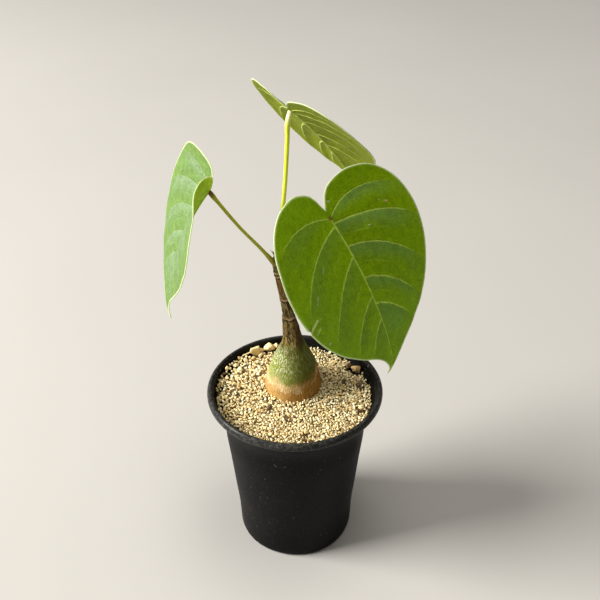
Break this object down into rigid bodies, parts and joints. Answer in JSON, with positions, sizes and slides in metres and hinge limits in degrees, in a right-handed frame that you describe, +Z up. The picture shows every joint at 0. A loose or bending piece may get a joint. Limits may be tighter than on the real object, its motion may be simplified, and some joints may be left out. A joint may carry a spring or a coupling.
{
  "type": "potted shaving brush tree",
  "caption": "Young caudex plant with a swollen base and heart-shaped leaves on long stalks, in a flared black plastic pot dressed with pale grit.",
  "frame": {"origin": "middle of the pot's foot, on its flat underside", "axes": "+Z up along the pot's axis and the plant's height; the viewer of the picture stands on the -Y side, with +X to the right"},
  "size_m": [0.1203, 0.1192, 0.2496],
  "materials": {
    "pot": "moulded black plastic, satin, dusty and a little worn at the lip",
    "potting_mix": "coarse brown mix of pumice and bark",
    "grit": "pale crushed stone, dry and matt",
    "caudex": "green to tan skin with pale streaks, brown fissured bark above",
    "growing_tip": "soft green bud with dry pale stipules",
    "leafstalk": "smooth yellow-green stalk, red-brown at the joints",
    "leaf": "satin green blade with pale veins and a pale margin"
  },
  "bodies": {
    "root": {"pot": "pot", "potting_mix": "potting_mix", "grit": "grit", "caudex": "caudex", "growing_tip": "growing_tip", "leafstalk_front": "leafstalk", "leafstalk_left": "leafstalk", "leafstalk_back": "leafstalk", "leaf_front": "leaf", "leaf_left": "leaf", "leaf_back": "leaf"}
  },
  "joints": []
}
